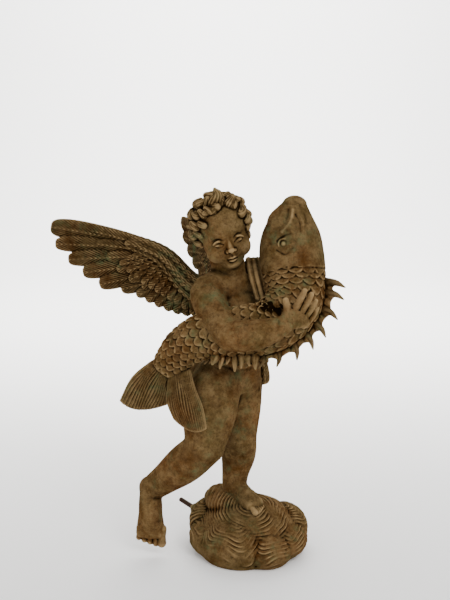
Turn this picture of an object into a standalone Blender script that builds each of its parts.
"""Cast bronze garden figure: a winged boy on a wave-cut base, holding a spiny fish, with a water pipe.

Metres, +Z up, the figure faces -Y. The origin is in the middle of the base's flat underside.
The figure is a free form, so its points and girths are written in percent of its own height, measured
from the sole of the standing foot. The base and the pipe have sizes of their own.
"""

import math

import bmesh
import bpy
import numpy as np
from mathutils import Matrix, Vector

# Driving sizes
FIGURE_HEIGHT = 0.87
FIGURE_OFFSET = -0.008
BASE_WIDTH = 0.342
BASE_DEPTH = 0.315
BASE_HEIGHT = 0.15
PIPE_DIAMETER = 0.0135
PIPE_WALL = 0.0021
PIPE_LENGTH = 0.07
PIPE_SEAT = 0.022
PIPE_SIDE = -0.924
PIPE_BACK = 0.495
PIPE_HEIGHT = 0.088
PIPE_MOUTH = (PIPE_SIDE * BASE_WIDTH / 2, PIPE_BACK * BASE_DEPTH / 2, PIPE_HEIGHT)
PIPE_TURN = math.radians(124)
BOSS_WALL = 0.006
BOSS_LENGTH = 0.024
CLEARANCE = 0.0003

# How finely the fused casting is worked out
GRAIN = 0.0034
SOFTENING_STEPS = 26
TRIANGLES = 9300

# The pose, in percent of the figure's height
CHEST_TURN = math.radians(35)
HIP_TURN = math.radians(42)
HEAD_CENTRE = (-7.6, -3.6, 86.8)
HEAD_YAW = math.radians(14)
HEAD_BOW = math.radians(13)
HEAD_LEAN = math.radians(-12)
FISH_LINE = (
    (-24.6, -8.4, 44.2),
    (-20.0, -9.8, 51.0),
    (-12.4, -11.4, 56.2),
    (-2.4, -12.6, 57.6),
    (7.6, -12.4, 59.6),
    (13.6, -9.8, 65.8),
    (14.2, -6.4, 73.0),
    (13.4, -4.4, 80.0),
    (13.5, -3.7, 87.0),
    (14.2, -3.7, 94.6),
)
FISH_HALF_HEIGHT = (4.6, 6.0, 6.9, 7.4, 7.8, 8.4, 9.0, 9.3, 7.9, 3.4)
FISH_HALF_WIDTH = (3.2, 4.2, 4.7, 5.0, 5.6, 6.2, 6.8, 7.2, 6.2, 3.0)
SCALE_ROWS = 21
SCALES_AROUND = 12
SCALE_RELIEF = 0.42
SPINE_COUNT = 14
LOCK_COUNT = 74


def at(x, y, z):
    """A point of the figure, from percent of its height to metres."""
    share = FIGURE_HEIGHT / 100
    return Vector((FIGURE_OFFSET + x * share, y * share, BASE_HEIGHT + z * share))


def long(percent):
    """A length of the figure, from percent of its height to metres."""
    return percent * FIGURE_HEIGHT / 100


def turned(yaw, bow=0.0, lean=0.0):
    """A rotation: first a lean to one side, then a bow forwards, then a turn about the vertical."""
    return (
        Matrix.Rotation(yaw, 4, "Z") @ Matrix.Rotation(bow, 4, "X") @ Matrix.Rotation(lean, 4, "Y")
    )


HEAD = Matrix.Translation(at(*HEAD_CENTRE)) @ turned(HEAD_YAW, HEAD_BOW, HEAD_LEAN)


def on_head(x, y, z):
    """A point in the head's own frame, in percent of the figure's height."""
    return HEAD @ Vector((long(x), long(y), long(z)))


class Clay:
    """Overlapping closed forms: lumps are made straight away, and limbs as splines of one curve."""

    def __init__(self):
        self.forms = bmesh.new()
        self.limbs = bpy.data.curves.new("limbs", "CURVE")
        self.limbs.dimensions = "3D"
        self.limbs.bevel_depth = 1
        self.limbs.bevel_resolution = 3
        self.limbs.use_fill_caps = True

    def added_to(self, whole):
        """Puts all the forms into a larger mesh and lets go of them."""
        guide = bpy.data.objects.new("limbs", self.limbs)
        bpy.context.scene.collection.objects.link(guide)
        graph = bpy.context.evaluated_depsgraph_get()
        whole.from_mesh(bpy.data.meshes.new_from_object(guide.evaluated_get(graph)))
        bpy.data.objects.remove(guide)
        lumps = bpy.data.meshes.new("lumps")
        self.forms.to_mesh(lumps)
        self.forms.free()
        whole.from_mesh(lumps)


def ball(around, along):
    """A new mesh of a sphere of radius 1, with its poles on Z."""
    form = bmesh.new()
    bmesh.ops.create_uvsphere(form, u_segments=around, v_segments=along, radius=1)
    mesh = bpy.data.meshes.new("ball")
    form.to_mesh(mesh)
    form.free()
    return mesh


def egg(clay, centre, radii, frame=Matrix.Identity(4), segments=16):
    """An ellipsoid. Its centre is a point in metres, and its three radii are in percent."""
    size = Matrix.Diagonal((long(radii[0]), long(radii[1]), long(radii[2]), 1))
    mesh = ball(segments, segments // 2)
    mesh.transform(Matrix.Translation(centre) @ frame.to_3x3().to_4x4() @ size)
    clay.forms.from_mesh(mesh)


def rod(clay, points, girths):
    """A round limb through points in metres, with a girth at each in percent, and round ends."""
    spline = clay.limbs.splines.new("BEZIER")
    spline.resolution_u = 5
    spline.bezier_points.add(len(points) - 1)
    for knot, point, girth in zip(spline.bezier_points, points, girths):
        knot.co = point
        knot.radius = long(girth)
        knot.handle_left_type = knot.handle_right_type = "AUTO"
    for point, girth in ((points[0], girths[0]), (points[-1], girths[-1])):
        egg(clay, point, (girth, girth, girth), segments=12)


def blade(clay, root, tip, half_width, half_thickness, flat_side, bulge=3.2, sag=0.0, taper=0.35):
    """A leaf-like form, such as a feather, with a blunt round tip and a narrower root.

    root and tip are in metres and the rest in percent. flat_side is the way its flat face looks, and
    sag bends it sideways by that much at mid length.
    """
    along = tip - root
    length = along.length
    along.normalize()
    face = (flat_side - along * flat_side.dot(along)).normalized()
    across = face.cross(along)
    mesh = ball(12, 14)
    for vert in mesh.vertices:
        x, y, z = vert.co.z, vert.co.x, vert.co.y
        ring = math.sqrt(max(1 - x * x, 1e-9))
        fullness = (1 - abs(x) ** bulge) ** (1 / bulge) / ring
        narrowing = 1 - taper * (1 - x) / 2
        arch = long(sag) * (1 - x * x)
        vert.co = (
            root
            + along * (length * (x + 1) / 2)
            + across * (y * fullness * narrowing * long(half_width) + arch)
            + face * (z * fullness * long(half_thickness))
        )
    clay.forms.from_mesh(mesh)


def loft(clay, rings):
    """A closed skin over rings of points, each as many as the next, with a cap at each end."""
    rows = [[clay.forms.verts.new(point) for point in ring] for ring in rings]
    for lower, upper in zip(rows, rows[1:]):
        for i in range(len(lower)):
            j = (i + 1) % len(lower)
            clay.forms.faces.new((lower[i], lower[j], upper[j], upper[i]))
    clay.forms.faces.new(rows[0][::-1])
    clay.forms.faces.new(rows[-1])


def smooth_line(points, count):
    """A count of points spaced evenly by knot along a smooth curve through the given points."""
    points = np.array(points, float)
    padded = np.vstack((2 * points[0] - points[1], points, 2 * points[-1] - points[-2]))
    where = np.linspace(0, len(points) - 1 - 1e-9, count)
    knot = where.astype(int)
    t = (where - knot)[:, None]
    a, b, c, d = (padded[knot + i] for i in range(4))
    return 0.5 * (
        2 * b + (c - a) * t + (2 * a - 5 * b + 4 * c - d) * t**2 + (3 * b - a - 3 * c + d) * t**3
    )


def torso(clay):
    """Trunk: pelvis, belly, chest, shoulders, neck and seat, each turned as the pose twists."""
    hips, chest = turned(HIP_TURN), turned(CHEST_TURN)
    egg(clay, at(-4.4, 0.8, 41.5), (10.0, 8.2, 8.0), hips)
    egg(clay, at(-3.9, -0.6, 50.5), (9.6, 8.8, 9.0), chest)
    egg(clay, at(-4.6, 0.2, 61.0), (10.4, 8.0, 9.6), chest)
    rod(clay, [at(-11.6, -5.0, 68.6), at(-4.6, 0.6, 69.6), at(3.4, 5.6, 71.6)], (5.2, 6.4, 5.2))
    rod(clay, [at(-4.2, 1.6, 68.0), at(-6.6, -1.6, 80.0)], (5.6, 5.2))
    egg(clay, at(-7.6, -5.4, 64.0), (5.0, 3.6, 4.0), chest)
    egg(clay, at(-12.0, 2.4, 40.6), (6.8, 6.2, 6.8), hips)
    egg(clay, at(-4.0, 8.4, 39.4), (6.2, 6.0, 6.6), hips)


def raised_leg(clay):
    """His right leg, bent and lifted clear of the base, with the toes hanging down."""
    rod(
        clay,
        [at(-9.2, -3.6, 40.0), at(-11.4, -9.0, 31.0), at(-12.8, -12.6, 21.8)],
        (7.9, 8.2, 6.2),
    )
    rod(
        clay,
        [
            at(-13.0, -12.4, 21.2),
            at(-19.2, -9.0, 14.8),
            at(-25.2, -5.4, 8.8),
            at(-29.4, -3.0, 4.8),
        ],
        (5.9, 6.1, 4.9, 4.0),
    )
    egg(clay, at(-30.6, -1.4, 4.2), (3.2, 3.2, 3.4))


def standing_leg(clay):
    """His left leg, straight, carrying the weight."""
    rod(
        clay,
        [at(-1.6, 3.4, 38.6), at(-1.9, 2.4, 29.4), at(-1.9, -1.0, 21.0)],
        (7.2, 7.0, 5.4),
    )
    rod(
        clay,
        [at(-1.9, -0.8, 21.0), at(-2.3, 2.4, 14.0), at(-3.3, 2.6, 7.6), at(-3.7, 2.6, 3.4)],
        (5.4, 5.6, 4.4, 4.0),
    )


def arms(clay):
    """His right arm hugs the fish from the front, and his left arm carries it from behind."""
    rod(
        clay,
        [at(-12.2, -6.0, 67.6), at(-9.6, -11.6, 62.0), at(-4.9, -17.4, 57.2)],
        (5.3, 5.1, 4.7),
    )
    rod(
        clay,
        [at(-4.9, -17.6, 57.2), at(1.2, -20.6, 58.2), at(6.0, -21.0, 59.4), at(10.2, -20.2, 60.9)],
        (4.7, 4.6, 4.0, 2.9),
    )
    rod(clay, [at(4.2, 6.2, 71.0), at(9.4, 8.8, 66.4), at(14.2, 6.6, 62.4)], (5.0, 4.4, 4.0))
    rod(clay, [at(14.2, 6.6, 62.4), at(17.6, 2.6, 62.6), at(20.2, -1.2, 64.4)], (4.0, 3.6, 2.8))


def head_mass(clay):
    """Skull, cheeks and jaw, before the features."""
    egg(clay, on_head(0, 1.2, 2.0), (8.4, 8.9, 8.2), HEAD, 24)
    egg(clay, on_head(0, -2.2, -3.0), (6.9, 6.3, 7.4), HEAD, 24)
    for side in (-1, 1):
        egg(clay, on_head(side * 3.6, -4.7, -4.5), (3.4, 3.3, 3.3), HEAD)
    egg(clay, on_head(0, -5.0, -8.4), (3.0, 2.8, 2.3), HEAD)
    egg(clay, on_head(0, -2.6, -8.0), (4.8, 4.6, 3.0), HEAD)


def features(clay):
    """A calm child's face on plain proportions: brows, eyes, nose, lips, chin and ears."""
    rod(clay, [on_head(0, -7.9, 0.2), on_head(0, -8.8, -1.8), on_head(0, -9.5, -3.4)], (0.5, 0.7, 1.15))
    for side in (-1, 1):
        egg(clay, on_head(side * 1.15, -8.7, -3.7), (0.75, 0.8, 0.6), HEAD)
        egg(clay, on_head(side * 3.05, -6.75, -1.1), (1.6, 1.35, 1.15), HEAD)
        lid = [
            on_head(side * (3.05 + x), -8.15 + abs(x) * 0.34, -0.75 + 1.05 * math.cos(x * 0.9))
            for x in (-1.8, -0.9, 0.0, 0.9, 1.8)
        ]
        rod(clay, lid, (0.15, 0.22, 0.25, 0.22, 0.15))
        brow = [on_head(side * x, -7.95 + 0.07 * x * x, 1.5 + 0.1 * x) for x in (1.4, 2.8, 4.6)]
        rod(clay, brow, (0.3, 0.38, 0.3))
        ear = [
            on_head(
                side * (7.5 + 1.0 * math.sin(a)),
                0.4 + 0.8 * math.cos(a),
                -1.6 + 2.2 * math.sin(a - 0.6),
            )
            for a in (-0.6, 0.3, 1.2, 2.1, 3.0)
        ]
        rod(clay, ear, (0.5, 0.8, 0.9, 0.8, 0.6))
    rod(
        clay,
        [on_head(x, -8.75 + 0.2 * x * x, -5.75 - 0.14 * x * x) for x in (-1.7, -0.8, 0.0, 0.8, 1.7)],
        (0.22, 0.42, 0.4, 0.42, 0.22),
    )
    rod(
        clay,
        [on_head(x, -8.35 + 0.2 * x * x, -6.85 + 0.16 * x * x) for x in (-1.4, 0.0, 1.4)],
        (0.25, 0.55, 0.25),
    )


def hair(clay):
    """Short curled locks laid over the skull in rings, and a tuft standing up on top."""
    golden = math.pi * (3 - math.sqrt(5))
    for i in range(LOCK_COUNT):
        rise = 1 - 1.55 * (i + 0.5) / LOCK_COUNT
        turn = i * golden
        reach = math.sqrt(max(1 - rise * rise, 0))
        facing = -math.cos(turn) * reach
        if facing > 0.42 and rise < 0.62 or facing > 0.1 and rise < -0.05:
            continue
        curl = []
        for step in (0.0, 0.4, 0.8, 1.2, 1.6):
            swing = turn + (0.1 + 0.26 * step) * (1 if i % 2 else -1)
            drop = rise - 0.16 * step + 0.08 * step * step
            ring = math.sqrt(max(1 - drop * drop, 0))
            lift = 1.03 + 0.07 * math.sin(step * 1.9)
            curl.append(
                on_head(
                    8.5 * lift * ring * math.sin(swing),
                    1.2 + 9.0 * lift * ring * math.cos(swing),
                    2.0 + 8.3 * lift * drop,
                )
            )
        rod(clay, curl, (0.9, 1.25, 1.3, 1.1, 0.6))
    tuft = ((0.0, -2.6, 9.6), (1.0, -2.4, 11.6), (0.4, -1.6, 13.6))
    rod(clay, [on_head(*p) for p in tuft], (2.4, 1.9, 0.7))
    rod(clay, [on_head(-2.0, -1.6, 9.4), on_head(-1.8, -1.8, 11.6)], (2.2, 0.8))
    rod(clay, [on_head(3.6, -3.2, 8.2), on_head(5.2, -2.4, 9.8)], (2.2, 0.9))


def hand(clay, wrist, knuckles, tips, thumb):
    """A palm from the wrist to the knuckles, four fingers and a thumb, all points in percent."""
    for knuckle, tip in zip(knuckles, tips):
        rod(clay, [at(*wrist), at(*knuckle)], (1.7, 1.3))
        bend = (at(*knuckle) + at(*tip)) / 2 + (at(*knuckle) - at(*wrist)).normalized() * long(0.5)
        rod(clay, [at(*knuckle), bend, at(*tip)], (1.25, 1.1, 0.85))
    rod(clay, [at(*wrist), at(*thumb[0]), at(*thumb[1])], (1.9, 1.4, 0.95))


def hands(clay):
    """The near hand spread on the fish's flank, and the far one on its back."""
    hand(
        clay,
        (10.2, -20.4, 61.2),
        ((13.2, -18.6, 64.6), (14.9, -18.0, 63.8), (16.3, -17.2, 62.6), (17.2, -16.2, 61.0)),
        ((16.9, -16.2, 70.6), (18.9, -15.2, 69.4), (20.2, -14.2, 67.2), (20.8, -13.2, 64.6)),
        ((11.2, -19.4, 65.0), (11.2, -17.6, 69.4)),
    )
    hand(
        clay,
        (20.2, -1.2, 64.4),
        ((20.8, -1.2, 68.4), (21.6, -2.2, 67.4), (22.2, -3.2, 66.2), (22.6, -4.2, 65.0)),
        ((20.6, -1.0, 74.0), (22.2, -2.4, 73.0), (23.4, -4.2, 71.4), (24.0, -6.0, 69.6)),
        ((18.4, 0.6, 68.0), (17.2, 1.4, 72.0)),
    )


def foot(clay, heel, ball, toe_way, across, sole):
    """A foot from its heel to its ball with five toes, points in percent and ways as vectors."""
    heel, ball = at(*heel), at(*ball)
    rise = -sole * long(1.1)
    rod(clay, [heel, (heel + ball) / 2 + rise, ball], (3.3, 3.1, 2.1))
    for side in (-1, -0.35, 0.35, 1):
        rod(
            clay,
            [heel + rise, ball + across * long(2.9 * side)],
            (2.8, 1.9),
        )
    for i in range(5):
        slide = across * long(3.7 - 1.8 * i)
        base = ball + slide - toe_way * long(0.4)
        reach = (3.2, 3.3, 2.9, 2.5, 2.0)[i]
        tip = base + toe_way * long(reach) + sole * long(0.35)
        fat = (1.45, 1.15, 1.1, 1.0, 0.95)[i]
        rod(clay, [base, (base + tip) / 2 - sole * long(0.3), tip], (fat, fat * 0.9, fat))


def feet(clay):
    """The hanging foot shows its instep to the front; the other steps down the wave."""
    down = Vector((-0.03, -0.10, -1)).normalized()
    foot(
        clay,
        (-30.0, -2.4, 3.4),
        (-30.2, -4.8, -10.2),
        down,
        Vector((1, -0.15, 0)).normalized(),
        Vector((-0.1, 1, 0)).normalized(),
    )
    ahead = Vector((0.62, -0.76, -0.16)).normalized()
    foot(
        clay,
        (-4.4, 4.2, 2.0),
        (2.4, -5.0, 0.6),
        ahead,
        Vector((-0.77, -0.63, 0)).normalized(),
        Vector((0, 0, -1)),
    )


def fish_rings(relief):
    """The fish's trunk as rings of points along its bent line, with rows of scales raised on it."""
    count, around = 64, 36
    line = smooth_line([at(*p) for p in FISH_LINE], count)
    tall = smooth_line([(long(v), 0, 0) for v in FISH_HALF_HEIGHT], count)[:, 0]
    wide = smooth_line([(long(v), 0, 0) for v in FISH_HALF_WIDTH], count)[:, 0]
    ahead = np.gradient(line, axis=0)
    ahead /= np.linalg.norm(ahead, axis=1)[:, None]
    towards = np.array((0.0, -1.0, 0.0))
    back = np.cross(ahead, towards)
    back /= np.linalg.norm(back, axis=1)[:, None]
    side = np.cross(back, ahead)
    turn = np.linspace(0, 2 * math.pi, around, endpoint=False)
    row = np.linspace(0, SCALE_ROWS, count)[:, None]
    column = turn[None, :] / (2 * math.pi) * SCALES_AROUND
    shift = 0.5 * (np.floor(row) % 2)
    bow = np.abs((column + shift) % 1 - 0.5) * 2
    step = (row + 0.45 * bow**2) % 1
    raised = long(relief) * (1 - step) * (row < SCALE_ROWS * 0.72)
    rings = []
    for i in range(count):
        out = np.cos(turn)[:, None] * back[i] * tall[i] + np.sin(turn)[:, None] * side[i] * wide[i]
        normal = out / np.linalg.norm(out, axis=1)[:, None]
        rings.append([Vector(p) for p in line[i] + out + normal * raised[i][:, None]])
    return line, back, side, tall, rings


def fish(clay):
    """Trunk, blunt head with a mouth and eyes, webbed spiny fin along the back, and a forked tail."""
    line, back, side, tall, rings = fish_rings(SCALE_RELIEF)
    loft(clay, rings)
    egg(clay, at(14.2, -3.7, 94.4), (3.8, 3.2, 3.0))
    rod(clay, [at(10.4, -3.5, 85.6), at(8.8, -3.5, 89.2), at(11.0, -3.6, 92.8)], (2.8, 2.9, 2.2))
    for face in (-1, 1):
        lip = [
            at(15.0, -3.8 + face * 3.4, 93.6),
            at(12.0, -3.7 + face * 5.0, 90.4),
            at(9.4, -3.6 + face * 5.0, 86.6),
        ]
        rod(clay, lip, (0.8, 0.75, 0.5))
        eye = at(10.6, -4.0 + face * 6.2, 83.6)
        egg(clay, eye, (1.5, 1.1, 1.5))
        ring = [
            eye + Vector((math.cos(a), 0, math.sin(a))) * long(2.3)
            for a in np.linspace(0, 2 * math.pi, 9)
        ]
        rod(clay, ring, (0.42,) * 9)
        gill = (
            (6.4, -4.6 + face * 5.2, 77.4),
            (12.0, -5.4 + face * 8.0, 74.4),
            (19.0, -4.8 + face * 6.0, 76.6),
        )
        rod(clay, [at(*p) for p in gill], (0.5, 0.6, 0.5))
    spiny_fin(clay, line, back, side, tall)
    tail_fin(clay)


def spiny_fin(clay, line, back, side, tall):
    """A web along the fish's back with a horn-like spine at each rib of it."""
    first, last = 12, 41
    where = np.linspace(last, first, SPINE_COUNT).round().astype(int)
    for n, i in enumerate(where):
        reach = 7.2 - 0.26 * n
        out, along = Vector(back[i]), Vector(line[i] - line[i - 1]).normalized()
        foot_of = Vector(line[i]) + out * (tall[i] * 0.9)
        mid = foot_of + out * long(reach * 0.6) - along * long(1.1)
        tip = foot_of + out * long(reach) - along * long(3.2)
        rod(clay, [foot_of, mid, tip], (1.15, 0.8, 0.32))
    for i, j in zip(where, where[1:]):
        out = Vector(back[i] + back[j]).normalized()
        root_a = Vector(line[i]) + Vector(back[i]) * (tall[i] * 0.86)
        root_b = Vector(line[j]) + Vector(back[j]) * (tall[j] * 0.86)
        middle = (root_a + root_b) / 2 + out * long(0.2)
        blade(
            clay,
            middle - out * long(2.2),
            middle + out * long(3.1),
            (root_a - root_b).length * 0.62 * 100 / FIGURE_HEIGHT,
            0.62,
            Vector(side[i]),
            taper=0.0,
        )


def tail_fin(clay):
    """Two fan-shaped lobes with rays, spreading from the narrow end of the trunk."""
    lobes = (
        ((-25.2, -8.4, 46.0), (-37.2, -7.4, 34.2), 4.8, 0.9),
        ((-24.6, -8.8, 44.6), (-30.6, -8.6, 31.6), 4.4, 0.9),
        ((-22.4, -9.8, 44.6), (-19.8, -15.6, 30.4), 4.0, 0.9),
        ((-20.4, -10.2, 45.4), (-15.0, -17.6, 28.2), 4.2, 0.9),
    )
    for root, tip, half_width, half_thickness in lobes:
        root, tip = at(*root), at(*tip)
        blade(clay, root, tip, half_width, half_thickness, Vector((0.1, -1, 0.1)), 4.0, 0.0, 0.45)
        across = (tip - root).cross(Vector((0, -1, 0))).normalized()
        for ray in (-0.75, -0.25, 0.25, 0.75):
            start = root + across * long(half_width * ray * 0.5) + Vector((0, -1, 0)) * long(0.5)
            end = tip + across * long(half_width * ray) - (tip - root) * 0.06
            end += Vector((0, -1, 0)) * long(0.75)
            rod(clay, [start, end], (0.45, 0.38))


def wing(clay, root, sweep, lift, face, size):
    """One wing: an arm along its leading edge, long flight feathers, and two rows of coverts.

    root is in percent, sweep the level way it spreads, lift the upward way in its plane, face the way
    its flat side looks, and size its share of the full wing. Stations on it are (along sweep, up lift).
    """

    def station(along, up, off=0.0):
        """A point of the wing, from percent along its sweep and up its lift."""
        return at(*root) + (sweep * along + lift * up) * (size * FIGURE_HEIGHT / 100) + face * long(off)

    edge = ((-1.5, -2.4), (4.4, 2.4), (11.0, 9.2), (17.4, 12.4), (26.0, 15.2))
    rod(clay, [station(*pair) for pair in edge], (4.0, 3.1, 2.7, 2.0, 1.3))
    egg(clay, station(2.0, -4.0), (3.4, 3.4, 5.0))
    primaries = (
        ((14.0, 11.6), (48.6, 18.8), 2.9, 0.7),
        ((13.0, 10.2), (47.4, 13.2), 2.7, 0.6),
        ((12.0, 8.8), (43.4, 8.4), 2.7, 0.4),
        ((11.0, 7.2), (39.2, 4.2), 2.7, 0.3),
        ((10.0, 5.4), (33.6, -0.2), 2.6, 0.1),
        ((8.6, 3.6), (27.8, -2.2), 2.5, -0.2),
    )
    for order, (start, end, half_width, sag) in enumerate(primaries):
        off = 0.35 - 0.16 * order
        blade(clay, station(*start, off), station(*end, off), half_width, 0.75, face, 6.0, -sag, 0.3)
        rod(clay, [station(*start, off + 0.7), station(*end, off + 0.5)], (0.5, 0.3))
        rod(clay, [station(*start, off - 0.7), station(*end, off - 0.5)], (0.5, 0.3))
    for i in range(6):
        share = i / 5
        start = (9.0 - 8.6 * share, 2.4 - 4.2 * share)
        end = (21.4 - 18.6 * share, -3.8 - 6.4 * math.sin(share * math.pi / 2))
        blade(clay, station(*start, -0.4), station(*end, -0.4), 2.0, 1.1, face, 4.0, 0.0, 0.2)
    for layer, (depth, count, half_width, reach) in enumerate(((1.15, 9, 1.7, 9.5), (1.55, 8, 1.5, 6.0))):
        for i in range(count):
            share = i / (count - 1)
            start = (1.0 + 22.0 * share, -1.6 + 16.0 * share**0.8)
            drop = math.radians(-62 + 58 * share)
            end = (start[0] + reach * math.cos(drop), start[1] + reach * math.sin(drop) - 1.2 * layer)
            for way in (-1, 1):
                blade(
                    clay,
                    station(*start, way * depth * 0.7),
                    station(*end, way * depth),
                    half_width,
                    0.7,
                    face,
                    3.6,
                    0.0,
                    0.15,
                )


def wings(clay):
    """His right wing spreads sideways and his left one sweeps straight back from the shoulder."""
    up = Vector((0, 0, 1))
    spread = Vector((-1, 0.10, 0)).normalized()
    wing(clay, (-13.6, 5.4, 68.6), spread, up, Vector((-0.10, -1, 0)).normalized(), 1.0)
    swept = Vector((-0.42, 0.90, 0)).normalized()
    wing(clay, (-3.2, 10.0, 67.4), swept, up, Vector((-0.90, -0.42, 0)).normalized(), 0.92)


def sash(clay):
    """A narrow gathered cloth over his left shoulder, down his back, with its end at the hip."""
    for i in range(3):
        side = 1.5 * (i - 1)
        rod(
            clay,
            [
                at(4.6 + side, -6.2, 66.6),
                at(2.8 + side, -4.4, 73.0),
                at(2.0 + side, 1.6, 77.0),
                at(2.6 + side, 7.6, 73.4),
                at(3.0 + side, 10.4, 66.0),
                at(4.0 + side, 9.8, 54.0),
                at(5.2 + side * 0.8, 5.6, 44.0),
            ],
            (1.0, 1.15, 1.2, 1.2, 1.1, 1.1, 1.0),
        )
    blade(clay, at(4.6, 5.4, 46.0), at(5.6, 3.2, 36.8), 2.9, 1.5, Vector((0.5, -1, 0)), 3.0, 0.0, 0.3)


def waves(clay):
    """The base: a mound of water with rounded swells round its rim and curling ridges over them."""
    half_x, half_y = BASE_WIDTH / 2, BASE_DEPTH / 2
    egg(clay, at(-7.4, 5.0, -1.6), (6.2, 5.4, 4.0))
    to_percent = 100 / FIGURE_HEIGHT
    swell = 0.30
    egg(
        clay,
        Vector((0, 0, BASE_HEIGHT * 0.28)),
        (half_x * 0.84 * to_percent, half_y * 0.84 * to_percent, BASE_HEIGHT * 0.71 * to_percent),
        segments=32,
    )
    egg(
        clay,
        Vector((0, 0, BASE_HEIGHT * 0.52)),
        (half_x * 0.74 * to_percent, half_y * 0.74 * to_percent, BASE_HEIGHT * 0.46 * to_percent),
        segments=32,
    )
    swells = (
        (-98, 1.06, 0.29),
        (-48, 0.96, 0.28),
        (-2, 1.0, 0.32),
        (44, 1.0, 0.34),
        (92, 1.0, 0.3),
        (146, 1.1, 0.42),
        (188, 1.02, 0.28),
        (-142, 0.94, 0.29),
    )
    for degrees, fullness, rise in swells:
        turn = math.radians(degrees)
        reach = (1 - swell * 1.35) * fullness
        centre = Vector(
            (half_x * reach * math.cos(turn), half_y * reach * math.sin(turn), BASE_HEIGHT * rise)
        )
        radii = (
            half_x * swell * 1.5 * to_percent,
            half_x * swell * 1.25 * to_percent,
            BASE_HEIGHT * (0.39 + 0.04 * math.sin(3 * turn)) * to_percent,
        )
        egg(clay, centre, radii, turned(turn + math.pi / 2), 20)
        for ridge in range(4):
            arc = []
            for step in np.linspace(-0.9, 0.9, 7):
                tilt = 0.28 + 0.28 * ridge
                way = Vector(
                    (math.sin(step) * math.cos(tilt), -math.cos(step) * math.cos(tilt), math.sin(tilt))
                )
                local = Vector((way.x * radii[0], -way.y * radii[1], way.z * radii[2])) / to_percent
                arc.append(centre + turned(turn - math.pi / 2) @ local)
            rod(clay, arc, (0.3, 0.42, 0.5, 0.55, 0.5, 0.42, 0.3))


def pipe_frame():
    """Where the pipe leaves its boss: +Z runs out along it, from the mouth of the boss."""
    out = Vector((math.cos(PIPE_TURN), math.sin(PIPE_TURN), 0))
    return Matrix.Translation(PIPE_MOUTH) @ out.to_track_quat("Z", "Y").to_matrix().to_4x4()


def boss(clay):
    """The tapered collar that the water pipe is screwed into."""
    length = BOSS_LENGTH * 2.4
    place = pipe_frame() @ Matrix.Translation((0, 0, -length / 2))
    radius = PIPE_DIAMETER / 2 + BOSS_WALL
    bmesh.ops.create_cone(
        clay.forms,
        cap_ends=True,
        segments=24,
        radius1=radius * 1.9,
        radius2=radius,
        depth=length,
        matrix=place,
    )


def mesh_object(name, clay):
    """Puts the clay into a new object."""
    mesh = bpy.data.meshes.new(name)
    clay.to_mesh(mesh)
    clay.free()
    made = bpy.data.objects.new(name, mesh)
    bpy.context.scene.collection.objects.link(made)
    return made


def modelled(makes, body=None):
    """All the forms that the given functions make, with a body that was fused before."""
    whole = bmesh.new()
    for make in makes:
        clay = Clay()
        make(clay)
        clay.added_to(whole)
    if body:
        whole.from_mesh(body)
    return whole


def fused(name, clay, grain, steps):
    """One skin over all the overlapping forms of the clay, with its creases softened."""
    lump = mesh_object(name, clay)
    skin = lump.modifiers.new("fuse", "REMESH")
    skin.mode = "VOXEL"
    skin.voxel_size = grain
    soften = lump.modifiers.new("soften", "SMOOTH")
    soften.factor = 0.5
    soften.iterations = steps
    graph = bpy.context.evaluated_depsgraph_get()
    mesh = bpy.data.meshes.new_from_object(lump.evaluated_get(graph))
    bpy.data.objects.remove(lump)
    return mesh


def outer_skin_only(clay):
    """Drops every shell but the largest, such as a pocket closed in between the forms."""
    left, shells = set(clay.verts), []
    while left:
        seed = left.pop()
        shell, edge_of = {seed}, [seed]
        while edge_of:
            vert = edge_of.pop()
            for edge in vert.link_edges:
                other = edge.other_vert(vert)
                if other not in shell:
                    shell.add(other)
                    edge_of.append(other)
        left -= shell
        shells.append(shell)
    largest = max(shells, key=len)
    spare = [v for shell in shells if shell is not largest for v in shell]
    bmesh.ops.delete(clay, geom=spare, context="VERTS")


def cutter(name, collection, make):
    """A hidden helper that a Boolean takes away from the casting."""
    shape = bmesh.new()
    make(shape)
    made = mesh_object(name, shape)
    bpy.context.scene.collection.objects.unlink(made)
    collection.objects.link(made)
    made.hide_render = True
    made.display_type = "WIRE"
    return made


def bronze():
    """Brown patinated bronze with a dull, waxy surface."""
    material = bpy.data.materials.new("patinated bronze")
    material.use_nodes = True
    shader = material.node_tree.nodes["Principled BSDF"]
    shader.inputs["Base Color"].default_value = (0.115, 0.066, 0.028, 1)
    shader.inputs["Roughness"].default_value = 0.6
    shader.inputs["Metallic"].default_value = 0.55
    return material


def dark_steel():
    """Blackened steel pipe."""
    material = bpy.data.materials.new("blackened steel")
    material.use_nodes = True
    shader = material.node_tree.nodes["Principled BSDF"]
    shader.inputs["Base Color"].default_value = (0.035, 0.03, 0.026, 1)
    shader.inputs["Roughness"].default_value = 0.55
    shader.inputs["Metallic"].default_value = 0.8
    return material


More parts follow.
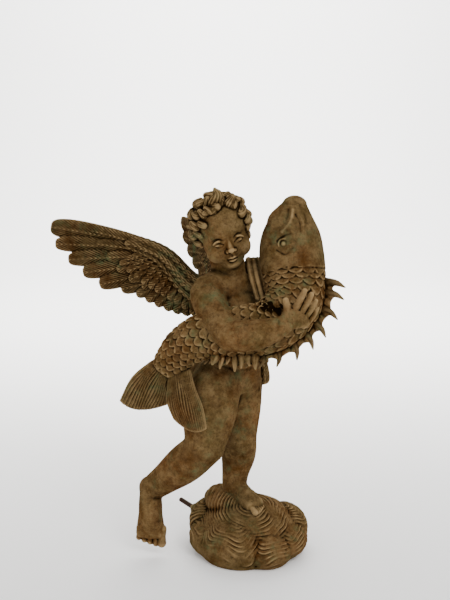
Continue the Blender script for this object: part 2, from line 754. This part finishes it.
def casting(collection, cutters):
    """The whole bronze, fused to one skin, cut flat below and bored for the pipe."""
    flesh = modelled((torso, raised_leg, standing_leg, arms, head_mass))
    body = fused("flesh", flesh, GRAIN, SOFTENING_STEPS)
    clay = modelled((features, hair, hands, feet, fish, wings, sash, waves, boss), body)
    skin = fused("skin", clay, GRAIN, 2)
    whole = bmesh.new()
    whole.from_mesh(skin)
    outer_skin_only(whole)
    bmesh.ops.triangulate(whole, faces=whole.faces)
    faces = len(whole.faces)
    statue = mesh_object("statue", whole)
    thin = statue.modifiers.new("thin out", "DECIMATE")
    thin.ratio = TRIANGLES / faces
    size = 2 * max(BASE_WIDTH, BASE_DEPTH, FIGURE_HEIGHT)

    def ground(shape):
        """Everything below the flat underside."""
        bmesh.ops.create_cube(shape, size=size, matrix=Matrix.Translation((0, 0, -size / 2)))

    def socket(shape):
        """The hole that the pipe sits in, open past the mouth of the boss."""
        over = PIPE_DIAMETER
        depth = PIPE_SEAT + CLEARANCE + over
        radius = PIPE_DIAMETER / 2
        place = pipe_frame() @ Matrix.Translation((0, 0, over - depth / 2))
        bmesh.ops.create_cone(
            shape, cap_ends=True, segments=48, radius1=radius, radius2=radius, depth=depth, matrix=place
        )

    for name, make in (("ground", ground), ("socket", socket)):
        cut = statue.modifiers.new(name, "BOOLEAN")
        cut.operation = "DIFFERENCE"
        cut.object = cutter(name, cutters, make)
    statue.data.materials.append(bronze())
    bpy.context.scene.collection.objects.unlink(statue)
    collection.objects.link(statue)
    return statue


def water_pipe(collection):
    """A short steel pipe, open through its length, turned from the profile of its wall."""
    outer, inner = PIPE_DIAMETER / 2, PIPE_DIAMETER / 2 - PIPE_WALL
    seat = outer - CLEARANCE
    top, bottom, edge, shoulder = PIPE_LENGTH, -PIPE_SEAT, 0.0006, 0.0005
    profile = (
        (outer - edge, top),
        (outer, top - edge),
        (outer, shoulder),
        (seat, shoulder),
        (seat, bottom),
        (inner, bottom),
        (inner, top),
    )
    shape = bmesh.new()
    corners = [shape.verts.new((x, 0, z)) for x, z in profile]
    for i, corner in enumerate(corners):
        shape.edges.new((corner, corners[(i + 1) % len(corners)]))
    pipe = mesh_object("water_pipe", shape)
    turn = pipe.modifiers.new("turn", "SCREW")
    turn.axis = "Z"
    turn.steps = turn.render_steps = 48
    turn.use_merge_vertices = True
    turn.merge_threshold = 0.00001
    pipe.matrix_world = pipe_frame()
    pipe.data.materials.append(dark_steel())
    bpy.context.scene.collection.objects.unlink(pipe)
    collection.objects.link(pipe)
    return pipe


def main():
    """Clears the scene and makes the casting and its pipe."""
    for old in list(bpy.data.objects):
        bpy.data.objects.remove(old)
    scene = bpy.context.scene
    bronze_boy = bpy.data.collections.new("bronze winged boy with fish")
    helpers = bpy.data.collections.new("cutters")
    scene.collection.children.link(bronze_boy)
    scene.collection.children.link(helpers)
    casting(bronze_boy, helpers)
    water_pipe(bronze_boy)


if __name__ == "__main__":
    main()
